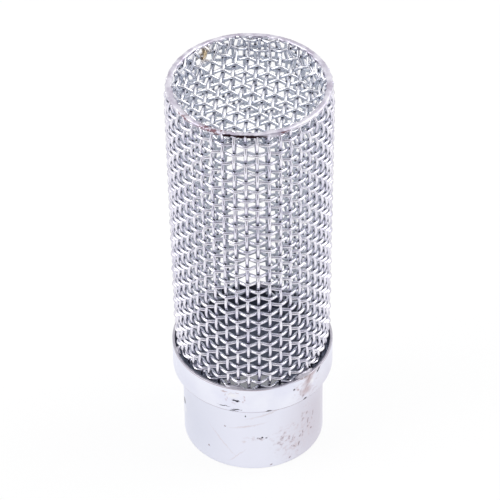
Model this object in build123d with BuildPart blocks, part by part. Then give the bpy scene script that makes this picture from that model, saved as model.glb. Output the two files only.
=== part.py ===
from build123d import *
from math import hypot, radians
import os

# An inlet screen: a tube of woven wire cloth closed by a dished cloth cap, on a pressed steel collar
# whose spigot fits the inlet. It stands on the spigot's foot, with the origin at the middle of the foot
# and +Z up towards the cap.

# Overall
screen_height = 102.0

# Collar, pressed from one sheet
sheet = 0.7
spigot_radius = 16.45
shoulder_height = 19.3
shoulder_step = 2.3
collar_height = 27.2
bend_radius = 0.6

# Tack welds on the collar's lip, and the shallow dimple pressed in the band under each
tack_count = 6
first_tack_angle = -101.0
tack_radius = 0.6
tack_rise = 0.35
dimple_radius = 1.6
dimple_depth = 0.25
dimple_drop = 3.1

# Wire cloth: the wire, its spacing, and the bars that stand for groups of wires
wire = 0.75
cloth_pitch = 2.42
sleeve_columns = 12
sleeve_gap_rows = 8
cap_gap_pitch = 2.8
cap_gap_rows = 10
crown_share = 0.6
ridge_height = 0.18

# Sleeve, wider at its top than at its foot
sleeve_flare = 1.45
sleeve_clearance = 0.3
sleeve_inset = 0.9

# Fused rim ring
rim_thickness = 0.8
rim_width = 1.6
rim_setback = 0.75
rim_chamfer = 0.15

# Cap
cap_depth = 4.6
cap_clearance = 0.1
cap_corner_radius = 3.0
cap_turn = -4.7

# Places that follow from the sizes
band_radius = spigot_radius + shoulder_step
collar_line_spigot = spigot_radius - sheet / 2
collar_line_band = band_radius - sheet / 2
collar_line_shoulder = shoulder_height + sheet / 2
band_bore_radius = band_radius - sheet
cloth_top = screen_height - rim_thickness
sleeve_foot = collar_height - sleeve_inset
sleeve_length = cloth_top - sleeve_foot
sleeve_foot_radius = band_bore_radius - sleeve_clearance
sleeve_top_radius = sleeve_foot_radius + sleeve_flare
bar_share = wire / cloth_pitch
cap_radius = sleeve_top_radius - 2 * wire - cap_clearance
cap_floor = screen_height - cap_depth


def sleeve_line(height):
    """Radius of the middle of the sleeve's cloth at a height above the foot of the screen."""
    rise = (height - sleeve_foot) / sleeve_length
    return sleeve_foot_radius + rise * (sleeve_top_radius - sleeve_foot_radius) - wire


# Collar: the sheet's middle line turned about the axis, then the dimples and the tack welds
with BuildPart() as collar:
    with BuildSketch(Plane.XZ):
        with BuildLine():
            FilletPolyline(
                (collar_line_spigot, 0),
                (collar_line_spigot, collar_line_shoulder),
                (collar_line_band, collar_line_shoulder),
                (collar_line_band, collar_height),
                radius=bend_radius + sheet / 2,
            )
        trace(line_width=sheet)
    revolve(axis=Axis.Z)
    with Locations((0, 0, collar_height - dimple_drop)):
        with PolarLocations(band_radius + dimple_radius - dimple_depth, tack_count, first_tack_angle):
            Sphere(dimple_radius, mode=Mode.SUBTRACT)
    with Locations((0, 0, collar_height)):
        with PolarLocations(sleeve_foot_radius + tack_radius, tack_count, first_tack_angle):
            Cylinder(tack_radius, 2 * tack_rise)

collar.part.label = "collar"

# Sleeve: a tapered wall one wire thick with a ridge at each level bar, gaps between the bars, and raised
# crowns where an upright bar passes over a level one
column_angle = 360 / sleeve_columns
column_step = radians(column_angle) * sleeve_line(sleeve_foot)
row_step = sleeve_length / sleeve_gap_rows
gap_heights = [sleeve_foot + (row + 0.5) * row_step for row in range(sleeve_gap_rows)]
crossing_heights = [cloth_top - row * row_step for row in range(1, sleeve_gap_rows)]
ridge_half = row_step * bar_share / 2
gap_reach = 2 * (sleeve_line(cloth_top) - sleeve_line(sleeve_foot)) + 4 * wire

outline = [(sleeve_line(sleeve_foot) - wire / 2, sleeve_foot), (sleeve_line(sleeve_foot) + wire / 2, sleeve_foot)]
for height in reversed(crossing_heights):
    outer_face = sleeve_line(height) + wire / 2
    outline += [
        (outer_face, height - ridge_half),
        (outer_face + ridge_height, height - ridge_half),
        (outer_face + ridge_height, height + ridge_half),
        (outer_face, height + ridge_half),
    ]
outline += [(sleeve_line(cloth_top) + wire / 2, cloth_top), (sleeve_line(cloth_top) - wire / 2, cloth_top)]


def crown_place(column, row):
    """Place of the crown where an upright bar crosses a level one, on the cloth's outer half."""
    height = crossing_heights[row]
    turned = Location((0, 0, height), (0, 0, column * column_angle))
    return turned * Location((sleeve_line(height) + wire / 2, 0, 0))


crossings = [(column, row) for column in range(sleeve_columns) for row in range(len(crossing_heights))]

with BuildPart() as mesh_sleeve:
    with BuildSketch(Plane.XZ):
        with BuildLine():
            Polyline(*outline, close=True)
        make_face()
    revolve(axis=Axis.Z)
    with Locations(*[(0, 0, height) for height in gap_heights]):
        with PolarLocations(sleeve_line(cloth_top), sleeve_columns, column_angle / 2):
            Box(gap_reach, column_step * (1 - bar_share), row_step * (1 - bar_share), mode=Mode.SUBTRACT)
    with Locations(*[crown_place(column, row) for column, row in crossings if (column + row) % 2 == 0]):
        Box(wire, column_step * bar_share, row_step * crown_share)

mesh_sleeve.part.label = "mesh_sleeve"

# Cap: the same cloth as a shallow dish, its edge turned up inside the sleeve
cap_line_wall = cap_radius - wire / 2
cap_line_floor = cap_floor - wire / 2
flat_radius = cap_line_wall - cap_corner_radius
cap_gap = cap_gap_pitch * (1 - bar_share)
cap_bar = cap_gap_pitch * bar_share
gap_steps = [(step - (cap_gap_rows - 1) / 2) * cap_gap_pitch for step in range(cap_gap_rows)]
bar_steps = [(step + 1 - cap_gap_rows / 2) * cap_gap_pitch for step in range(cap_gap_rows - 1)]
cap_underside = Plane.XY.offset(cap_floor - wire).rotated((0, 0, cap_turn))
cap_upperside = Plane.XY.offset(cap_floor).rotated((0, 0, cap_turn))
gap_centres = [(x, y) for x in gap_steps for y in gap_steps if hypot(x, y) + cap_gap / 2**0.5 < flat_radius]
cap_crossings = [
    (x, y)
    for column, x in enumerate(bar_steps)
    for row, y in enumerate(bar_steps)
    if (column + row) % 2 == 0 and hypot(x, y) + cap_gap_pitch / 2 < flat_radius
]

with BuildPart() as top_cap:
    with BuildSketch(Plane.XZ):
        with BuildLine():
            FilletPolyline(
                (0, cap_line_floor),
                (cap_line_wall, cap_line_floor),
                (cap_line_wall, cloth_top),
                radius=cap_corner_radius,
            )
        trace(line_width=wire)
    revolve(axis=Axis.Z)
    with BuildSketch(cap_underside):
        with Locations(*gap_centres):
            Rectangle(cap_gap, cap_gap)
    extrude(amount=wire, mode=Mode.SUBTRACT)
    with BuildSketch(cap_upperside):
        with Locations(*[(0, y) for y in bar_steps]):
            Rectangle(2 * cap_radius, cap_bar)
        Circle(flat_radius - wire, mode=Mode.INTERSECT)
    extrude(amount=ridge_height)
    with BuildSketch(cap_upperside):
        with Locations(*cap_crossings):
            Rectangle(cap_bar, cap_gap_pitch * crown_share)
    extrude(amount=wire / 2)

top_cap.part.label = "top_cap"

# Rim ring: the flat fused ring over the cut edges of the sleeve and the cap
rim_radius = sleeve_top_radius - rim_setback

with BuildPart() as rim_ring:
    with BuildSketch(Plane.XZ) as rim_section:
        with Locations((rim_radius - rim_width / 2, screen_height - rim_thickness / 2)):
            Rectangle(rim_width, rim_thickness)
        chamfer(rim_section.vertices(), rim_chamfer)
    revolve(axis=Axis.Z)

rim_ring.part.label = "rim_ring"

os.makedirs("parts", exist_ok=True)
for piece in (collar, mesh_sleeve, top_cap, rim_ring):
    export_step(piece.part, f"parts/{piece.part.label}.step")
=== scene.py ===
import math
import random

import bpy
from mathutils import Matrix, Vector, noise


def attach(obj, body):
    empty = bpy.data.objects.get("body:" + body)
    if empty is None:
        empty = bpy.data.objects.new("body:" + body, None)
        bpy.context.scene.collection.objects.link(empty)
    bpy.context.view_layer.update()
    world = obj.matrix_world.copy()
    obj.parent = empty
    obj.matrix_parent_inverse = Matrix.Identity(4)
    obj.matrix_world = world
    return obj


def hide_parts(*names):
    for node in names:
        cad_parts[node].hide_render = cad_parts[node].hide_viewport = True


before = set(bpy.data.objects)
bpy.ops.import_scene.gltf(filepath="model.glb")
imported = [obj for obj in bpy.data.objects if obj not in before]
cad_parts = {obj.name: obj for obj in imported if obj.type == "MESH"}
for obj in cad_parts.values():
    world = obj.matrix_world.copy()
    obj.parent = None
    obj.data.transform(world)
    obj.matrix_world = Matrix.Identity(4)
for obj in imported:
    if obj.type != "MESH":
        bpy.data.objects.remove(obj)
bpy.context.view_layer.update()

# Collar: one sheet of steel, drawn in a press into a spigot, a narrow shoulder and a wider band, and
# then zinc plated. The sheet is 0.7 mm thick. The presser's welding electrodes left shallow dents in
# the band, and its lip is the sheared edge of the sheet, slightly rounded.
MM = 0.001
SHEET = 0.7
SPIGOT_LINE = 16.1
BAND_LINE = 18.4
SHOULDER_LINE = 19.65
COLLAR_TOP = 27.2
BEND = 0.95
EDGE_ROUND = 0.12
COLLAR_STEPS = 400
WELD_ANGLES = (-75.0, -13.2, 43.0, 109.0, 169.0, 229.0)
DENT_HEIGHT = 23.7


def linear(hex_colour):
    """A colour written as sRGB hex, as linear red, green, blue and alpha."""
    parts = [int(hex_colour[i : i + 2], 16) / 255 for i in (1, 3, 5)]
    return [p / 12.92 if p <= 0.04045 else ((p + 0.055) / 1.055) ** 2.4 for p in parts] + [1.0]


def add(tree, kind, settings=None, **links):
    """One node of a material, with its settings and the values or links of its inputs."""
    node = tree.nodes.new(kind)
    for name, value in (settings or {}).items():
        setattr(node, name, value)
    for name, value in links.items():
        key = int(name[1:]) if name[0] == "i" and name[1:].isdigit() else name.replace("_", " ")
        if isinstance(value, bpy.types.NodeSocket):
            tree.links.new(value, node.inputs[key])
        else:
            node.inputs[key].default_value = value
    return node


def new_material(name):
    material = bpy.data.materials.new(name)
    material.use_nodes = True
    material.node_tree.nodes.clear()
    return material, material.node_tree


def ramp(tree, factor, *stops):
    """A colour ramp through (position, hex colour) stops."""
    node = add(tree, "ShaderNodeValToRGB", Fac=factor)
    elements = node.color_ramp.elements
    while len(elements) < len(stops):
        elements.new(0.5)
    for element, (position, colour) in zip(elements, stops):
        element.position = position
        element.color = linear(colour)
    return node.outputs["Color"]


def place(angle, radius, height):
    """A point in metres, from an angle off the front in degrees, and a radius and height in mm."""
    turn = math.radians(angle)
    return Vector((radius * math.sin(turn), -radius * math.cos(turn), height)) * MM


def new_piece(name, points, faces, materials, face_slots=None, smooth=True):
    mesh = bpy.data.meshes.new(name)
    mesh.from_pydata(points, [], faces)
    for material in materials:
        mesh.materials.append(material)
    if face_slots:
        mesh.polygons.foreach_set("material_index", face_slots)
    mesh.polygons.foreach_set("use_smooth", [smooth] * len(faces))
    mesh.update()
    piece = bpy.data.objects.new(name, mesh)
    bpy.context.scene.collection.objects.link(piece)
    return piece


def arc(centre, radius, start, end, steps):
    """Points on an arc of the collar's middle line."""
    points = []
    for step in range(steps + 1):
        turn = math.radians(start + (end - start) * step / steps)
        points.append((centre[0] + radius * math.cos(turn), centre[1] + radius * math.sin(turn)))
    return points


def run(start, end, steps):
    return [
        (start[0] + (end[0] - start[0]) * s / steps, start[1] + (end[1] - start[1]) * s / steps)
        for s in range(steps)
    ]


low_bend = (SPIGOT_LINE + BEND, SHOULDER_LINE - BEND)
high_bend = (BAND_LINE - BEND, SHOULDER_LINE + BEND)
middle = run((SPIGOT_LINE, 0), (SPIGOT_LINE, low_bend[1]), 26)
middle += arc(low_bend, BEND, 180, 90, 5)
middle += arc(high_bend, BEND, -90, 0, 5)
middle += run((BAND_LINE, high_bend[1]), (BAND_LINE, COLLAR_TOP), 26)[1:]
middle.append((BAND_LINE, COLLAR_TOP))

outer = []
inner = []
for index, (radius, height) in enumerate(middle):
    before = middle[max(index - 1, 0)]
    after = middle[min(index + 1, len(middle) - 1)]
    along = Vector((after[0] - before[0], after[1] - before[1])).normalized()
    outer.append((radius + along.y * SHEET / 2, height - along.x * SHEET / 2))
    inner.append((radius - along.y * SHEET / 2, height + along.x * SHEET / 2))


def rounded_end(outside, inside, rise):
    """The sheared edge of the sheet between its two faces."""
    (ro, zo), (ri, zi) = outside, inside
    return [
        (ro, zo - rise * EDGE_ROUND),
        (ro - 0.3 * EDGE_ROUND, zo - 0.3 * rise * EDGE_ROUND),
        (ro - EDGE_ROUND, zo),
        ((ro + ri) / 2, zo),
        (ri + EDGE_ROUND, zi),
        (ri + 0.3 * EDGE_ROUND, zi - 0.3 * rise * EDGE_ROUND),
        (ri, zi - rise * EDGE_ROUND),
    ]


section = outer[1:-1] + rounded_end(outer[-1], inner[-1], 1) + inner[-2:0:-1]
inner_from = len(outer) - 2 + 4
inner_to = len(section)
section += reversed(rounded_end(outer[0], inner[0], -1))


def dent(angle, height):
    """How far the sheet is pressed in, in mm, at a place on the collar."""
    depth = 0.0
    if height > 19.0:
        for index, weld in enumerate(WELD_ANGLES):
            across = (angle - weld + 180) % 360 - 180
            across = math.radians(across) * BAND_LINE
            off = math.hypot(across, height - DENT_HEIGHT)
            ring = math.exp(-(((off - 2.1) / 0.5) ** 2)) * 0.05
            depth += ring + 0.22 * math.exp(-((off / 1.0) ** 2))
    return depth


collar_points = []
for step in range(COLLAR_STEPS):
    angle = 360 * step / COLLAR_STEPS
    for radius, height in section:
        spot = place(angle, radius, height) / MM
        uneven = noise.noise(spot * 0.11) * 0.05 + noise.noise(spot * 0.4) * 0.02
        sunk = dent(angle, height) + 0.06 + uneven
        collar_points.append(place(angle, radius - sunk, height))
around = len(section)
collar_faces = []
collar_slots = []
for step in range(COLLAR_STEPS):
    here = step * around
    there = (step + 1) % COLLAR_STEPS * around
    for index in range(around):
        following = (index + 1) % around
        collar_faces.append((here + index, there + index, there + following, here + following))
        collar_slots.append(1 if inner_from <= index < inner_to else 0)


def collar_spot(tree, ragged_by=1.1):
    """The place on the collar as mm round it, mm up it, with slightly ragged edges for its marks."""
    coordinates = add(tree, "ShaderNodeTexCoord").outputs["Object"]
    axes = add(tree, "ShaderNodeSeparateXYZ", Vector=coordinates).outputs
    back = add(tree, "ShaderNodeMath", {"operation": "MULTIPLY"}, i0=axes["Y"], i1=-1.0).outputs[0]
    turn = add(tree, "ShaderNodeMath", {"operation": "ARCTAN2"}, i0=axes["X"], i1=back).outputs[0]
    round_it = add(tree, "ShaderNodeMath", {"operation": "MULTIPLY"}, i0=turn, i1=BAND_LINE).outputs[0]
    up_it = add(tree, "ShaderNodeMath", {"operation": "MULTIPLY"}, i0=axes["Z"], i1=1 / MM).outputs[0]
    flat = add(tree, "ShaderNodeCombineXYZ", X=round_it, Y=up_it).outputs[0]
    ragged = add(tree, "ShaderNodeTexNoise", Vector=flat, Scale=1.4, Detail=3.0, Roughness=0.6)
    shift = add(tree, "ShaderNodeVectorMath", {"operation": "SUBTRACT"}, i0=ragged.outputs["Color"])
    shift.inputs[1].default_value = (0.5, 0.5, 0.5)
    push = add(tree, "ShaderNodeVectorMath", {"operation": "SCALE"}, i0=shift.outputs[0], Scale=ragged_by)
    return coordinates, add(
        tree, "ShaderNodeVectorMath", {"operation": "ADD"}, i0=flat, i1=push.outputs[0]
    ).outputs[0]


def marks(tree, spot, *places):
    """How much of a mark lies at a spot, from rows of angle, height, half length, half width, tilt."""
    total = None
    for angle, height, length, width, tilt in places:
        moved = add(tree, "ShaderNodeMapping", {"vector_type": "TEXTURE"}, Vector=spot)
        moved.inputs["Location"].default_value = (math.radians(angle) * BAND_LINE, height, 0)
        moved.inputs["Rotation"].default_value = (0, 0, math.radians(tilt))
        moved.inputs["Scale"].default_value = (length, width, 1)
        ball = add(tree, "ShaderNodeTexGradient", {"gradient_type": "SPHERICAL"}, Vector=moved.outputs[0])
        here = ball.outputs["Fac"]
        if total is not None:
            here = add(tree, "ShaderNodeMath", {"operation": "MAXIMUM"}, i0=total, i1=here).outputs[0]
        total = here
    return total


def tint(tree, base, cover, colour, full=0.5):
    """Base with a colour laid over it where the cover rises from 0 to full."""
    share = add(tree, "ShaderNodeMapRange", Value=cover, From_Max=full).outputs[0]
    mixed = add(tree, "ShaderNodeMix", {"data_type": "RGBA"}, i0=share, i6=base)
    mixed.inputs[7].default_value = linear(colour)
    return mixed.outputs[2]


# Zinc plated sheet: bright and a little blue, with a satin sheen from the drawn steel under it. Faint
# clouds and a fine grain break the shine, and the welds left brown stains, pits and dull scratches.
def plated_sheet(name, pale, dark, sheen, stained):
    material, tree = new_material(name)
    coordinates, spot = collar_spot(tree)
    clouds = add(tree, "ShaderNodeTexNoise", Vector=coordinates, Scale=130.0, Detail=4.0).outputs["Fac"]
    grain = add(tree, "ShaderNodeTexNoise", Vector=coordinates, Scale=2400.0, Detail=2.0).outputs["Fac"]
    colour = ramp(tree, clouds, (0.3, dark), (0.62, pale))
    axis = add(tree, "ShaderNodeSeparateXYZ", Vector=coordinates).outputs["Z"]
    height = add(tree, "ShaderNodeMath", {"operation": "MULTIPLY"}, i0=axis, i1=1 / MM).outputs[0]
    if stained:
        # The spigot, below the band, is made a little darker than the band.
        spigot_share = add(
            tree, "ShaderNodeMapRange", Value=height, From_Min=19.2, From_Max=19.9, To_Min=0.8, To_Max=0.0
        ).outputs[0]
        colour = tint(tree, colour, spigot_share, "#ECEDF9", 1.0)
        # Painted shade: broad soft patches darken the spigot on both sides, where it turns away from the light.
        side_shade = marks(tree, spot, (62, 8, 15, 22, 0))
        colour = tint(tree, colour, side_shade, "#D9D5E0", 0.8)
        colour = tint(tree, colour, marks(tree, spot, (-62, 8, 16, 22, 0)), "#E1E3F0", 0.8)
        # Thin dark lines, broken up by the clouds: painted shade under the band's lower bend at 19.85 mm, and a dark
        # line along the lip at 27.0 mm.
        edge = None
        for level, half in ((27.0, 0.1), (19.85, 0.22)):
            line = add(tree, "ShaderNodeMath", {"operation": "COMPARE"}, i0=height, i1=level, i2=half)
            edge = line if edge is None else add(
                tree, "ShaderNodeMath", {"operation": "MAXIMUM"}, i0=edge.outputs[0], i1=line.outputs[0]
            )
        broken = add(tree, "ShaderNodeMapRange", Value=clouds, From_Min=0.3, From_Max=0.5).outputs[0]
        edge = add(tree, "ShaderNodeMath", {"operation": "MULTIPLY"}, i0=edge.outputs[0], i1=broken).outputs[0]
        colour = tint(tree, colour, edge, "#A3919A", 1.2)
        # The top of the lip, above 27.1 mm, is made darker.
        darker_lip_top = add(
            tree, "ShaderNodeMapRange", Value=height, From_Min=27.1, From_Max=27.17, To_Max=0.5
        ).outputs[0]
        colour = tint(tree, colour, darker_lip_top, "#7A6C70", 1.0)
        brown = marks(
            tree, spot,
            (43.5, 25.4, 2.6, 1.5, 60), (41, 22.7, 2.2, 1.5, 0), (45, 26.6, 2.6, 0.7, 0),
            (33.5, 24.2, 0.5, 0.4, 0), (-21, 25.9, 1.0, 0.3, 0),
        )
        colour = tint(tree, colour, brown, "#CDBEC4", 0.7)
        speckle = add(tree, "ShaderNodeTexNoise", Vector=coordinates, Scale=900.0, Detail=3.0).outputs["Fac"]
        patchy = add(tree, "ShaderNodeMapRange", Value=speckle, From_Min=0.42, From_Max=0.56).outputs[0]
        # Burn marks from the welds, broken up by the speckle.
        burn_and_shadow = marks(tree, spot, (43.6, 26.0, 1.7, 0.45, 62), (41.5, 23.6, 1.0, 0.3, 50), (38.5, 26.9, 1.6, 0.3, 0))
        burn_and_shadow = add(tree, "ShaderNodeMath", {"operation": "MULTIPLY"}, i0=burn_and_shadow, i1=patchy).outputs[0]
        colour = tint(tree, colour, burn_and_shadow, "#A08D8B", 0.6)
        press_ring = []
        for stroke in (0, 1, 3, 4, 5, 6, 7, 8, 10, 13):
            turn = 2 * math.pi * stroke / 14
            reach = 2.2 + 0.35 * math.sin(stroke * 2.4)
            across, up = reach * math.cos(turn), 0.8 * reach * math.sin(turn)
            angle = -13.2 + math.degrees(across / BAND_LINE)
            press_ring.append((angle, 24.0 + up, 0.62, 0.2, math.degrees(turn) + 90 + 12 * math.cos(stroke)))
        colour = tint(tree, colour, marks(tree, spot, *press_ring), "#CDBDC4", 1.0)
        specks = add(tree, "ShaderNodeMapRange", Value=speckle, From_Min=0.62, From_Max=0.7).outputs[0]
        near = marks(tree, spot, (42, 23.5, 5, 4, 0), (36, 7, 8, 7, 0), (50, 9, 4, 7, 0), (6, 9.6, 5, 1, 0))
        inside = add(tree, "ShaderNodeMapRange", Value=near, From_Max=0.5).outputs[0]
        smudges = add(tree, "ShaderNodeMapRange", Value=speckle, From_Min=0.48, From_Max=0.6).outputs[0]
        smudged = add(tree, "ShaderNodeMath", {"operation": "MULTIPLY"}, i0=smudges, i1=inside).outputs[0]
        colour = tint(tree, colour, smudged, "#DAD1DA", 1.6)
        dotted = add(tree, "ShaderNodeMath", {"operation": "MULTIPLY"}, i0=specks, i1=inside).outputs[0]
        colour = tint(tree, colour, dotted, "#9B8C94", 1.7)
        flecks = marks(
            tree, spot,
            (33.8, 7.1, 0.9, 0.25, 70), (34.8, 4.2, 0.8, 0.25, -30), (40, 4.3, 0.8, 0.3, 60), (41.1, 6.6, 0.6, 0.3, 20),
            (44.5, 7.3, 0.9, 0.25, 80), (50.7, 9.6, 1.0, 0.3, 75), (54.9, 6.4, 0.6, 0.35, 0), (57.9, 10.6, 0.9, 0.3, 80),
            (31, 1.2, 0.5, 0.3, 0), (14, 0.8, 0.5, 0.25, 20), (-24, 12.5, 0.4, 0.25, 0), (-40, 4.0, 0.4, 0.3, 0),
        )
        colour = tint(tree, colour, flecks, "#A6979F", 0.7)
        scratch = marks(
            tree, spot,
            (-27, 7.5, 7, 0.25, -46), (-14, 3.8, 4, 0.22, 45), (-5, 13.5, 6, 0.35, 12),
            (10, 17, 7, 0.35, 14), (-8, 8.5, 0.7, 0.6, 0), (38, 4.5, 2.2, 0.4, 50), (52, 7, 2.6, 0.5, 80),
        )
        colour = tint(tree, colour, scratch, "#DCD2D8", 1.3)
        dark_marks = marks(
            tree, spot,
            (-12.5, 23.4, 1.15, 0.42, -8), (-12.6, 20.75, 1.6, 0.2, 2), (-21.5, 21.3, 1.8, 0.14, 4),
            (10.6, 20.2, 0.9, 0.3, 4), (-14, 20.15, 1.4, 0.18, 0), (40, 20.3, 0.7, 0.3, 30),
            (3, 9.7, 0.32, 0.2, 0), (5.2, 9.5, 0.5, 0.22, 0), (6.8, 9.8, 0.3, 0.2, 0), (9.9, 9.6, 0.32, 0.2, 0),
            (53.8, 26.4, 0.95, 0.4, 40), (30.4, 24.7, 0.35, 0.3, 0), (-6.6, 16.7, 0.3, 0.35, 0),
            (-80, 9.6, 1.2, 1.1, 0),
        )
        colour = tint(tree, colour, dark_marks, "#2C2838", 0.45)
        bright = marks(tree, spot, (-14.5, 24.9, 1.9, 1.0, 0), (-76.5, 7.6, 0.9, 1.5, 0), (47, 24.5, 0.9, 1.2, 0))
        colour = tint(tree, colour, bright, "#F6F5FA", 0.8)
    else:
        # Painted shade: inside, the sheet darkens towards the lip, where the collar and the cloth shade it.
        inside_shade = add(
            tree, "ShaderNodeMapRange", Value=height, From_Min=17.0, From_Max=25.0, To_Max=0.8
        ).outputs[0]
        colour = tint(tree, colour, inside_shade, "#2C2D38", 1.0)
    rough = add(
        tree, "ShaderNodeMapRange", Value=clouds, From_Min=0.3, From_Max=0.7,
        To_Min=sheen - 0.06, To_Max=sheen + 0.06,
    ).outputs[0]
    bump = add(tree, "ShaderNodeBump", Height=grain, Strength=0.12, Distance=0.00004).outputs[0]
    shader = add(
        tree, "ShaderNodeBsdfPrincipled", Base_Color=colour, Metallic=1.0, Roughness=rough, Normal=bump
    )
    add(tree, "ShaderNodeOutputMaterial", Surface=shader.outputs[0])
    return material


outer_zinc = plated_sheet("zinc_plated_sheet", "#F4F5FF", "#E9EAF9", 0.42, True)
# The inside of the sheet is duller, and its darker colours are painted shade, since little light reaches inside the
# collar.
shaded_inner_zinc = plated_sheet("dull_sheet_inside_painted_shade", "#A4AABC", "#868CA0", 0.55, False)
collar = new_piece("collar_sheet", collar_points, collar_faces, [outer_zinc, shaded_inner_zinc], collar_slots)
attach(collar, "root")
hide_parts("collar")

# Weld nuggets: steel that melted and set again where the lip was welded to the sleeve's foot. Each one
# is a low lump that bridges the lip and the lowest wires.
NUGGETS = (
    (-14.0, 2.3, 0.62, 0.45), (40.5, 2.7, 0.75, 1.05), (-75.0, 1.2, 0.5, 0.55),
    (109.0, 1.8, 0.6, 0.5), (169.0, 2.0, 0.6, 0.5), (229.0, 1.7, 0.6, 0.5),
)
NUGGET_LINE = 17.95
NUGGET_RINGS = 14
NUGGET_SIDES = 28
nugget_points = []
nugget_faces = []
for angle, length, depth, rise in NUGGETS:
    first = len(nugget_points)
    for ring in range(NUGGET_RINGS + 1):
        tip = math.pi * ring / NUGGET_RINGS
        for side in range(NUGGET_SIDES if 0 < ring < NUGGET_RINGS else 1):
            turn = 2 * math.pi * side / NUGGET_SIDES
            c = math.cos(turn) * math.sin(tip)
            s = math.sin(turn) * math.sin(tip)
            lump = 1 + 0.35 * noise.noise(Vector((c * 1.6, s * 1.6, math.cos(tip) * 3 + angle)))
            along = math.degrees(math.cos(tip) * length * lump / NUGGET_LINE)
            nugget_points.append(place(angle + along, NUGGET_LINE + depth * c * lump, 27.05 + rise * s * lump))
    for ring in range(NUGGET_RINGS):
        for side in range(NUGGET_SIDES):
            across = (side + 1) % NUGGET_SIDES
            near = first + 1 + (ring - 1) * NUGGET_SIDES
            far = first + 1 + ring * NUGGET_SIDES
            if ring == 0:
                nugget_faces.append((first, far + side, far + across))
            elif ring == NUGGET_RINGS - 1:
                nugget_faces.append((near + across, near + side, far))
            else:
                nugget_faces.append((near + side, far + side, far + across, near + across))
nuggets = new_piece("weld_nuggets", nugget_points, nugget_faces, [outer_zinc])
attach(nuggets, "root")

# Sleeve: zinc plated steel wire 0.75 mm thick in a plain weave, rolled into a tube. Each of its 46
# upright wires passes over and under the level ones. The level wires bend the more, so they stand
# proud of the uprights. The tube's foot sits just inside the collar's lip.
WIRE = 0.75
UPRIGHTS = 46
FIRST_UPRIGHT = -3.0
FRONT_SPREAD = 2.75
BACK_SPREAD = 0.0
BACK_SHIFT = 1.5
BACK_DROP = 0.03
LEVEL_CRIMP = (0.47, 0.34)
UPRIGHT_CRIMP = (0.28, 0.40)
FOOT_ROW = 26.14
CLOTH_EDGE = 101.5
FOOT_WELDS = ((-6.0, 15.0), (40.5, 8.0), (-76.0, 5.0), (109.0, 6.0), (169.0, 6.0), (229.0, 6.0))
SAMPLES = 8
SIDES = 8
row_heights = [FOOT_ROW]
while row_heights[-1] < CLOTH_EDGE - 1.2:
    stretched = max(row_heights[-1] - 50.0, 0) / 51.0
    row_heights.append(row_heights[-1] + 2.315 + 0.35 * stretched)
LAST_ROW = len(row_heights) - 1


def draw_in(angle, height):
    """How far the foot of the cloth stands back from its line, in mm, between the welds."""
    held = max(math.exp(-((((angle - weld + 180) % 360 - 180) / wide) ** 2)) for weld, wide in FOOT_WELDS)
    return 0.75 * (1 - held) * min(max((31.0 - height) / 4.5, 0), 1) ** 1.5


def cloth_radius(angle, height):
    """Radius of the middle of the cloth: it widens upwards and draws in under the rim."""
    grown = 17.12 + (height - 27.24) * (17.985 - 17.12) / (96.0 - 27.24)
    drawn_in = max(height - 95.5, 0) / 6.0
    return grown + 0.17 * math.sin(math.radians(angle)) ** 2 - 0.4 * drawn_in**2 - draw_in(angle, height)


def crimp(depths, height):
    """How far a wire swings in and out, from its depth low and high in the sleeve."""
    share = min(max((height - 50) / 35, 0), 1)
    return depths[0] + (depths[1] - depths[0]) * share


def upright_angle(wire):
    """Angle from the front of an upright wire, by its number, which may lie between two wires."""
    even = FIRST_UPRIGHT + wire * 360 / UPRIGHTS
    turn = math.radians(even)
    back = (1 - math.cos(turn)) / 2
    spread = FRONT_SPREAD + (BACK_SPREAD - FRONT_SPREAD) * back
    return even + spread * math.sin(turn) - BACK_SHIFT * back


def row_height(row):
    """Height of a level wire by its number, which may lie between two rows."""
    whole = min(max(int(math.floor(row)), 0), LAST_ROW - 1)
    return row_heights[whole] + (row - whole) * (row_heights[whole + 1] - row_heights[whole])


def lift(angle, height):
    """How far the rows lie off level, in mm: the cloth was rolled up a little askew."""
    turn = math.radians(angle)
    dropped = BACK_DROP * max(height - 45, 0) * (1 - math.cos(turn)) / 2
    askew = 0.6 * math.sin(turn) ** 2 - 0.3 * math.sin(turn) - dropped
    return askew * min(max((99 - height) / 8, 0), 1)


def drawn_wire(points, leans, thickness, closed):
    """A tube of wire along points in metres. Leans are the cloth's outward directions there."""
    count = len(points)
    verts = []
    faces = []
    stations = []
    for index in range(count):
        before = points[(index - 1) % count if closed else max(index - 1, 0)]
        after = points[(index + 1) % count if closed else min(index + 1, count - 1)]
        along = (after - before).normalized()
        aside = along.cross(leans[index]).normalized()
        lean = aside.cross(along)
        stations.append((points[index], along, aside, lean, thickness / 2 * MM))
    if not closed:
        first, last = stations[0], stations[-1]
        cut = thickness / 2 * MM
        stations.insert(0, (first[0] - first[1] * cut * 0.3, *first[1:4], cut * 0.72))
        stations.append((last[0] + last[1] * cut * 0.3, *last[1:4], cut * 0.72))
        count += 2
    for point, along, aside, lean, radius in stations:
        for side in range(SIDES):
            turn = 2 * math.pi * side / SIDES
            verts.append(point + (lean * math.cos(turn) + aside * math.sin(turn)) * radius)
    for index in range(count if closed else count - 1):
        here = index * SIDES
        there = (index + 1) % count * SIDES
        for side in range(SIDES):
            across = (side + 1) % SIDES
            faces.append((here + side, here + across, there + across, there + side))
    if not closed:
        faces.append(tuple(reversed(range(SIDES))))
        faces.append(tuple(range((count - 1) * SIDES, count * SIDES)))
    return verts, faces


def wires_piece(name, wires, thickness, closed, material):
    """All the wires that lie one way in a cloth, as one piece."""
    points = []
    faces = []
    for line, leans in wires:
        tube, skin = drawn_wire(line, leans, thickness, closed)
        first = len(points)
        points += tube
        faces += [tuple(first + corner for corner in face) for face in skin]
    return new_piece(name, points, faces, [material])


# Zinc plated wire: brighter than the sheet, because the wire was drawn smooth before it was plated.
# Where the wires cross, painted shade from an occlusion test darkens the colour, so each crossing is nearly black in
# its corners.
TARNISH = (-143.1, 16.75, 99.8)


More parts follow.
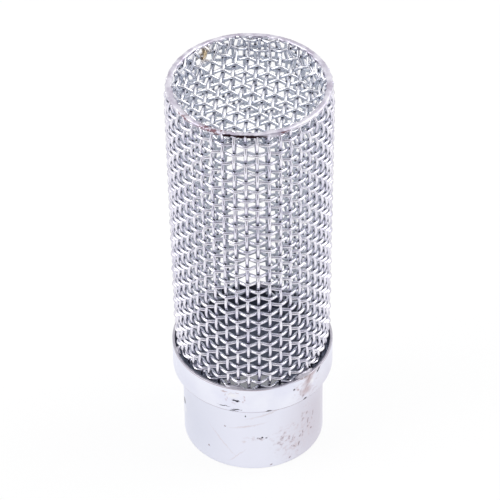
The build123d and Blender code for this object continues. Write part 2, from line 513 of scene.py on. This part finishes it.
def plated_wire(name, outer_side, pale, dark, dull_and_shaded, crossing_shade, reach, sheen):
    material, tree = new_material(name)
    coordinates = add(tree, "ShaderNodeTexCoord").outputs["Object"]
    level = add(tree, "ShaderNodeVectorMath", {"operation": "MULTIPLY"}, i0=coordinates)
    level.inputs[1].default_value = outer_side
    away = add(tree, "ShaderNodeVectorMath", {"operation": "NORMALIZE"}, i0=level.outputs[0])
    faces = add(tree, "ShaderNodeNewGeometry").outputs["Normal"]
    facing = add(tree, "ShaderNodeVectorMath", {"operation": "DOT_PRODUCT"}, i0=faces, i1=away.outputs[0])
    outwards = add(
        tree, "ShaderNodeMapRange", Value=facing.outputs["Value"], From_Min=-0.35, From_Max=0.25
    ).outputs[0]
    clouds = add(tree, "ShaderNodeTexNoise", Vector=coordinates, Scale=350.0, Detail=3.0).outputs["Fac"]
    grain = add(tree, "ShaderNodeTexNoise", Vector=coordinates, Scale=2600.0, Detail=2.0).outputs["Fac"]
    bright = ramp(tree, clouds, (0.35, dark), (0.6, pale))
    # Painted shade, with a duller finish: the sides of the wires that face into the tube, and on the cap their
    # undersides, take a darker grey-blue colour and less metal.
    shine = add(tree, "ShaderNodeMapRange", Value=outwards, To_Min=0.6, To_Max=1.0).outputs[0]
    both = add(tree, "ShaderNodeMix", {"data_type": "RGBA"}, i0=outwards, i7=bright)
    both.inputs[6].default_value = linear(dull_and_shaded)
    colour = both.outputs[2]
    # Painted shade: the colour goes to a dark shade colour where the ambient occlusion finds the wires close together.
    shade = add(tree, "ShaderNodeAmbientOcclusion", {"samples": 4}, Distance=reach * MM)
    unshaded = add(tree, "ShaderNodeMapRange", Value=shade.outputs["AO"], From_Min=0.25, From_Max=0.75)
    mixed = add(tree, "ShaderNodeMix", {"data_type": "RGBA"}, i0=unshaded.outputs[0], i7=colour)
    mixed.inputs[6].default_value = linear(crossing_shade)
    rough = add(
        tree, "ShaderNodeMapRange", Value=clouds, From_Min=0.3, From_Max=0.7,
        To_Min=sheen - 0.05, To_Max=sheen + 0.08,
    ).outputs[0]
    bump = add(tree, "ShaderNodeBump", Height=grain, Strength=0.15, Distance=0.00004).outputs[0]
    tarnish = add(tree, "ShaderNodeVectorMath", {"operation": "DISTANCE"}, i0=coordinates)
    tarnish.inputs[1].default_value = place(TARNISH[0], TARNISH[1], TARNISH[2])
    near = add(
        tree, "ShaderNodeMapRange", Value=tarnish.outputs["Value"],
        From_Min=0.5 * MM, From_Max=2.2 * MM, To_Min=0.8, To_Max=0.0,
    ).outputs[0]
    stained = add(tree, "ShaderNodeMix", {"data_type": "RGBA"}, i0=near, i6=mixed.outputs[2])
    stained.inputs[7].default_value = linear("#C9AE74")
    shader = add(
        tree, "ShaderNodeBsdfPrincipled",
        Base_Color=stained.outputs[2], Metallic=shine, Roughness=rough, Normal=bump,
    )
    shader.inputs["Specular Tint"].default_value = linear("#B8B4C0")
    add(tree, "ShaderNodeOutputMaterial", Surface=shader.outputs[0])
    return material


sleeve_zinc = plated_wire("zinc_plated_wire", (1, 1, 0), "#FAF8FF", "#E0DEEC", "#DDE2EA", "#3E3742", 0.36, 0.17)
random.seed(46)
height_play = [random.uniform(-0.07, 0.07) for row in row_heights]
angle_play = [random.uniform(-0.25, 0.25) for wire in range(UPRIGHTS)]

uprights = []
for wire in range(UPRIGHTS):
    line = []
    leans = []
    start = -0.2 + random.uniform(-0.05, 0.05)
    steps = int(round((LAST_ROW + 0.05 - start) * SAMPLES))
    for step in range(steps + 1):
        row = start + (LAST_ROW + 0.05 - start) * step / steps
        angle = upright_angle(wire) + angle_play[wire]
        height = row_height(row)
        height += lift(angle, height)
        side = -math.cos(math.pi * (wire + row))
        line.append(place(angle, cloth_radius(angle, height) + crimp(UPRIGHT_CRIMP, height) * side, height))
        leans.append(place(angle, 1, 0).normalized())
    uprights.append((line, leans))
sleeve_uprights = wires_piece("sleeve_uprights", uprights, WIRE, False, sleeve_zinc)

levels = []
for row in range(LAST_ROW + 1):
    line = []
    leans = []
    for step in range(UPRIGHTS * SAMPLES):
        wire = step / SAMPLES
        low = int(wire)
        play = angle_play[low] + (wire - low) * (angle_play[(low + 1) % UPRIGHTS] - angle_play[low])
        angle = upright_angle(wire) + play
        height = row_heights[row] + height_play[row] * math.sin(math.radians(angle * 2 + row * 40))
        height += lift(angle, height)
        swing = crimp(LEVEL_CRIMP, height) * math.cos(math.pi * (wire + row))
        line.append(place(angle, cloth_radius(angle, row_heights[row]) + swing, height))
        leans.append(place(angle, 1, 0).normalized())
    levels.append((line, leans))
sleeve_rings = wires_piece("sleeve_rings", levels, WIRE, True, sleeve_zinc)
for piece in (sleeve_uprights, sleeve_rings):
    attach(piece, "root")
    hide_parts("mesh_sleeve")

# Cap: a disc of the same cloth, pressed into a shallow dish with a round corner. Its wires run up the
# dish's wall and end in the rim. The disc lies turned a few degrees from the front.
CAP_PITCH_X = 2.526
CAP_PITCH_Y = 2.44
CAP_TURN = -7.45
CAP_START = (-2.19, 2.20)
CAP_FLOOR = 97.4 - 0.75 / 2
CAP_CORNER = 2.6
CAP_WALL = 16.6
LENGTHWISE_CRIMP = 0.27
CROSSWISE_CRIMP = 0.47
CAP_TOP = 101.6


def dish(x, y):
    """The place and outward direction on the dish of a point of the flat disc, or None beyond its edge."""
    reach = math.hypot(x, y)
    flat = CAP_WALL - CAP_CORNER
    bend_end = flat + CAP_CORNER * math.pi / 2
    way = Vector((x, y, 0)) / max(reach, 1e-6)
    if reach < flat:
        return Vector((x, y, CAP_FLOOR)), Vector((0, 0, 1))
    if reach < bend_end:
        turn = (reach - flat) / CAP_CORNER
        spot = way * (flat + CAP_CORNER * math.sin(turn))
        spot.z = CAP_FLOOR + CAP_CORNER * (1 - math.cos(turn))
        return spot, Vector((-way.x * math.sin(turn), -way.y * math.sin(turn), math.cos(turn)))
    height = CAP_FLOOR + CAP_CORNER + reach - bend_end
    if height > CAP_TOP:
        return None
    out = 0.5 * max(height - 99.6, 0) / 2.0
    return Vector((way.x * (CAP_WALL + out), way.y * (CAP_WALL + out), height)), -way


def cap_wires(lengthwise):
    """The cap's wires that lie front to back, or those across them."""
    turn = math.radians(CAP_TURN)
    across = CAP_PITCH_X if lengthwise else CAP_PITCH_Y
    along = CAP_PITCH_Y if lengthwise else CAP_PITCH_X
    crimp = LENGTHWISE_CRIMP if lengthwise else CROSSWISE_CRIMP
    wires = []
    for number in range(-9, 10):
        line = []
        leans = []
        play = random.uniform(-0.12, 0.12)
        for step in range(-10 * SAMPLES, 10 * SAMPLES + 1):
            place_along = step / SAMPLES
            u, v = number * across + play, place_along * along
            if not lengthwise:
                u, v = v, u
            u += CAP_START[0]
            v += CAP_START[1]
            x = u * math.cos(turn) - v * math.sin(turn)
            y = u * math.sin(turn) + v * math.cos(turn)
            found = dish(x, y)
            if found is None:
                continue
            spot, up = found
            side = math.cos(math.pi * (number + place_along)) * (1 if lengthwise else -1)
            line.append((spot + up * side * crimp) * MM)
            leans.append(up)
        if len(line) > 3:
            wires.append((line, leans))
    return wires


cap_zinc = plated_wire(
    "zinc_plated_wire_cap", (0, 0, 1), "#F8F8FC", "#E2E4EC", "#C8D1DE", "#6E6C78", 0.34, 0.19
)
cap_lengthwise = wires_piece("cap_wires_lengthwise", cap_wires(True), WIRE, False, cap_zinc)
cap_crosswise = wires_piece("cap_wires_crosswise", cap_wires(False), WIRE, False, cap_zinc)
for piece in (cap_lengthwise, cap_crosswise):
    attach(piece, "root")
    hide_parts("top_cap")

# Rim: the cut edges of the sleeve and the cap, melted together by resistance welding into one uneven
# flat ring. It is lumpy where the wires ran into it.
RIM_STEPS = 480
RIM_SIDES = 16
RIM_OUTER = 18.44
RIM_TOP = 101.97
RIM_FOOT = 100.95
RIM_BLOB = 15.4


def rim_width(angle):
    """The ring is wider at the sides than at the front and back."""
    return 1.2 + 0.2 * abs(math.sin(math.radians(angle))) ** 1.5


rim_points = []
for step in range(RIM_STEPS):
    angle = 360 * step / RIM_STEPS
    spot = place(angle, 18, 0) / MM
    wobble = noise.noise(spot * 0.35) * 0.10 + noise.noise(spot * 1.4) * 0.05
    lumped = math.exp(-(((angle - RIM_BLOB) / 4.5) ** 2))
    width = rim_width(angle) + noise.noise(spot * 0.8 + Vector((9, 0, 0))) * 0.25 + 0.5 * lumped
    thick = RIM_TOP - RIM_FOOT + noise.noise(spot * 0.9 + Vector((0, 9, 0))) * 0.2 + 0.5 * lumped
    for side in range(RIM_SIDES):
        turn = 2 * math.pi * side / RIM_SIDES
        flatter = 0.75
        c = math.copysign(abs(math.cos(turn)) ** flatter, math.cos(turn))
        s = math.copysign(abs(math.sin(turn)) ** flatter, math.sin(turn))
        lump = noise.noise(spot * 2.2 + Vector((c, s, 0)) * 0.8) * 0.06
        radius = RIM_OUTER - 0.08 - width / 2 + (width / 2 + lump) * c + min(wobble, 0.04)
        height = RIM_TOP - 0.05 - thick / 2 + (thick / 2 + lump) * s
        rim_points.append(place(angle, radius, min(height, 101.99)))
rim_faces = []
for step in range(RIM_STEPS):
    here = step * RIM_SIDES
    there = (step + 1) % RIM_STEPS * RIM_SIDES
    for side in range(RIM_SIDES):
        across = (side + 1) % RIM_SIDES
        rim_faces.append((here + side, there + side, there + across, here + across))


# Fused zinc and steel: duller than the wire, with a mauve heat tint, rough and finely pitted.
rim_metal, tree = new_material("fused_wire_rim")
coordinates, spot = collar_spot(tree, 0.35)
clouds = add(tree, "ShaderNodeTexNoise", Vector=coordinates, Scale=420.0, Detail=5.0).outputs["Fac"]
pits = add(tree, "ShaderNodeTexNoise", Vector=coordinates, Scale=1500.0, Detail=3.0).outputs["Fac"]
colour = ramp(tree, clouds, (0.34, "#BCB4C4"), (0.48, "#D3CFDC"), (0.62, "#E7E4ED"))
rusty = marks(tree, spot, (-27, 101.4, 4.4, 1.0, 0), (-52, 101.4, 3.0, 0.6, 0), (24, 101.3, 1.6, 0.5, 0))
speckled = add(tree, "ShaderNodeMapRange", Value=pits, From_Min=0.42, From_Max=0.58).outputs[0]
rusty = add(tree, "ShaderNodeMath", {"operation": "MULTIPLY"}, i0=rusty, i1=speckled).outputs[0]
colour = tint(tree, colour, rusty, "#7E5F67", 0.35)
# Painted shadow: a dark line along the lower front edge of the ring, where the gap under it lies in shade.
burn_and_shadow = marks(tree, spot, (-3.6, 101.15, 5.6, 0.75, 0), (-14, 101.2, 2.2, 0.6, 0))
colour = tint(tree, colour, burn_and_shadow, "#2C1C22", 0.2)
bump = add(tree, "ShaderNodeBump", Height=pits, Strength=0.4, Distance=0.0001).outputs[0]
shader = add(
    tree, "ShaderNodeBsdfPrincipled", Base_Color=colour, Metallic=1.0, Roughness=0.42, Normal=bump
)
add(tree, "ShaderNodeOutputMaterial", Surface=shader.outputs[0])
rim = new_piece("fused_rim", rim_points, rim_faces, [rim_metal])
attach(rim, "root")
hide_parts("rim_ring")

# Studio: a white floor that keeps the screen's shadow, a pale room with a darker side where the camera
# stands, and two soft lamps.
floor_mesh = bpy.data.meshes.new("studio_floor")
floor_mesh.from_pydata([(-3, -0.6, 0), (3, -0.6, 0), (3, 3, 0), (-3, 3, 0)], [], [(0, 1, 2, 3)])
floor = bpy.data.objects.new("studio_floor", floor_mesh)
bpy.context.scene.collection.objects.link(floor)
floor_white, tree = new_material("studio_floor_white")
paper = add(tree, "ShaderNodeBsdfDiffuse", Color=linear("#F4F4F4"))
glow = add(tree, "ShaderNodeEmission", Color=(1, 1, 1, 1), Strength=1.0)
path = add(tree, "ShaderNodeLightPath").outputs
seen = add(tree, "ShaderNodeMath", {"operation": "MAXIMUM"}, i0=path[0], i1=path["Is Glossy Ray"])
seen = add(tree, "ShaderNodeMath", {"operation": "MAXIMUM"}, i0=seen.outputs[0], i1=path["Is Transmission Ray"])
flat = add(tree, "ShaderNodeTexCoord").outputs["Object"]
off = add(tree, "ShaderNodeVectorMath", {"operation": "LENGTH"}, i0=flat).outputs["Value"]
outside = add(
    tree, "ShaderNodeMapRange", Value=off, From_Min=0.0158, From_Max=0.0166, To_Min=0.17, To_Max=0.86
).outputs[0]
share = add(tree, "ShaderNodeMath", {"operation": "MULTIPLY"}, i0=seen.outputs[0], i1=outside)
mixed = add(tree, "ShaderNodeMixShader", i0=share.outputs[0], i1=paper.outputs[0], i2=glow.outputs[0])
add(tree, "ShaderNodeOutputMaterial", Surface=mixed.outputs[0])
floor_mesh.materials.append(floor_white)

world = bpy.data.worlds.new("studio_room")
bpy.context.scene.world = world
world.use_nodes = True
tree = world.node_tree
tree.nodes.clear()
way = add(tree, "ShaderNodeTexCoord").outputs["Generated"]
towards = add(tree, "ShaderNodeVectorMath", {"operation": "DOT_PRODUCT"}, i0=way)
towards.inputs[1].default_value = (0.0, -0.906, 0.423)
room = ramp(
    tree, towards.outputs["Value"],
    (0.0, "#FFFFFF"), (0.74, "#FFFFFF"), (0.86, "#A09EAA"), (0.94, "#74727E"),
)
sky = add(tree, "ShaderNodeBackground", Color=room, Strength=0.95)
add(tree, "ShaderNodeOutputWorld", Surface=sky.outputs[0])


def soft_lamp(name, position, target, size, power):
    light = bpy.data.lights.new(name, "AREA")
    light.shape = "SQUARE"
    light.size = size
    light.energy = power
    lamp = bpy.data.objects.new(name, light)
    lamp.location = position
    lamp.rotation_euler = (Vector(target) - Vector(position)).to_track_quat("-Z", "Y").to_euler()
    bpy.context.scene.collection.objects.link(lamp)
    return lamp


soft_lamp("lamp_left", (-0.55, -0.15, 0.55), (0, 0, 0.05), 0.5, 2.0)
soft_lamp("lamp_right", (0.55, 0.1, 0.6), (0, 0, 0.05), 0.5, 2.0)

# Camera: a long lens that looks down on the screen from the front, as in the photograph
lens = bpy.data.cameras.new("camera")
lens.lens = 257.06
lens.sensor_width = 36.0
lens.clip_start = 0.01
camera = bpy.data.objects.new("camera", lens)
bpy.context.scene.collection.objects.link(camera)
camera.matrix_world = (
    Matrix.Translation((0, -0.61708, 0.58597))
    @ Matrix.Rotation(0.0005, 4, "Z")
    @ Matrix.Rotation(math.radians(49.21), 4, "X")
    @ Matrix.Rotation(math.radians(-0.779), 4, "Z")
)
bpy.context.scene.camera = camera
bpy.context.scene.view_settings.view_transform = "Standard"
